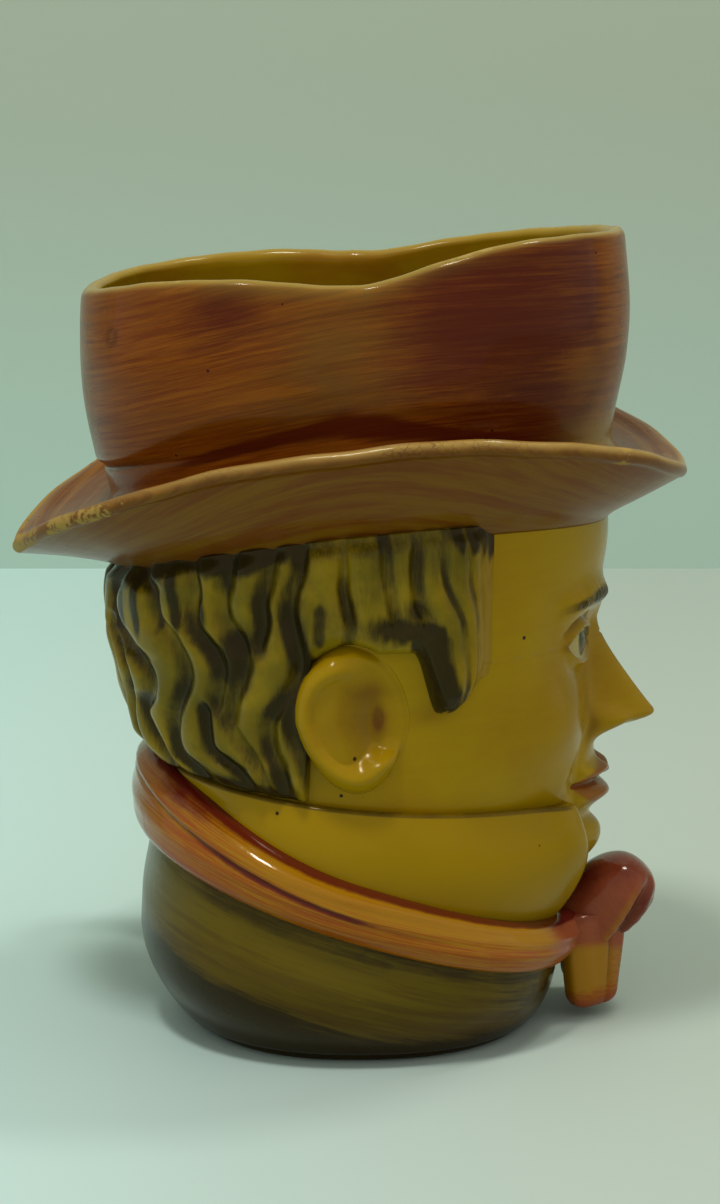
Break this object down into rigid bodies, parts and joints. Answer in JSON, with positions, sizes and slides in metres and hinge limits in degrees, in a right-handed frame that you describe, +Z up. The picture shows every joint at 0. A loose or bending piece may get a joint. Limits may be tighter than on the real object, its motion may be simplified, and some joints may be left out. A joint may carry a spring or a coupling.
{
  "type": "jug",
  "caption": "Glazed earthenware face jug: a head in a brimmed hat with an open crown, over a collar, a knotted neckerchief and a coat, with a loop handle at the side.",
  "frame": {"origin": "middle of the flat foot, on the surface that the jug stands on", "axes": "+Z up, -Y the way the face looks, +X the figure's own left, where the handle is"},
  "size_m": [0.1385, 0.1474, 0.1753],
  "materials": {
    "hat_glaze": "glossy red-brown and ochre glaze, brushed in streaks",
    "skin_glaze": "glossy mustard-yellow glaze",
    "hair_glaze": "glossy olive glaze with dark paint in the grooves",
    "collar_glaze": "glossy lemon-yellow glaze",
    "neckerchief_glaze": "glossy orange glaze with dark red edge lines",
    "coat_glaze": "glossy olive-brown glaze, darker towards the foot"
  },
  "bodies": {
    "root": {"coat_bowl": "coat_glaze", "head_wall": "skin_glaze", "hat_brim": "hat_glaze", "hat_crown": "hat_glaze", "shirt_collar": "collar_glaze", "neckerchief": "neckerchief_glaze", "neckerchief_knot": "neckerchief_glaze", "neckerchief_end_right": "neckerchief_glaze", "neckerchief_end_left": "neckerchief_glaze", "hair": "hair_glaze", "ear_right": "skin_glaze", "ear_left": "skin_glaze", "handle": "coat_glaze"}
  },
  "joints": []
}
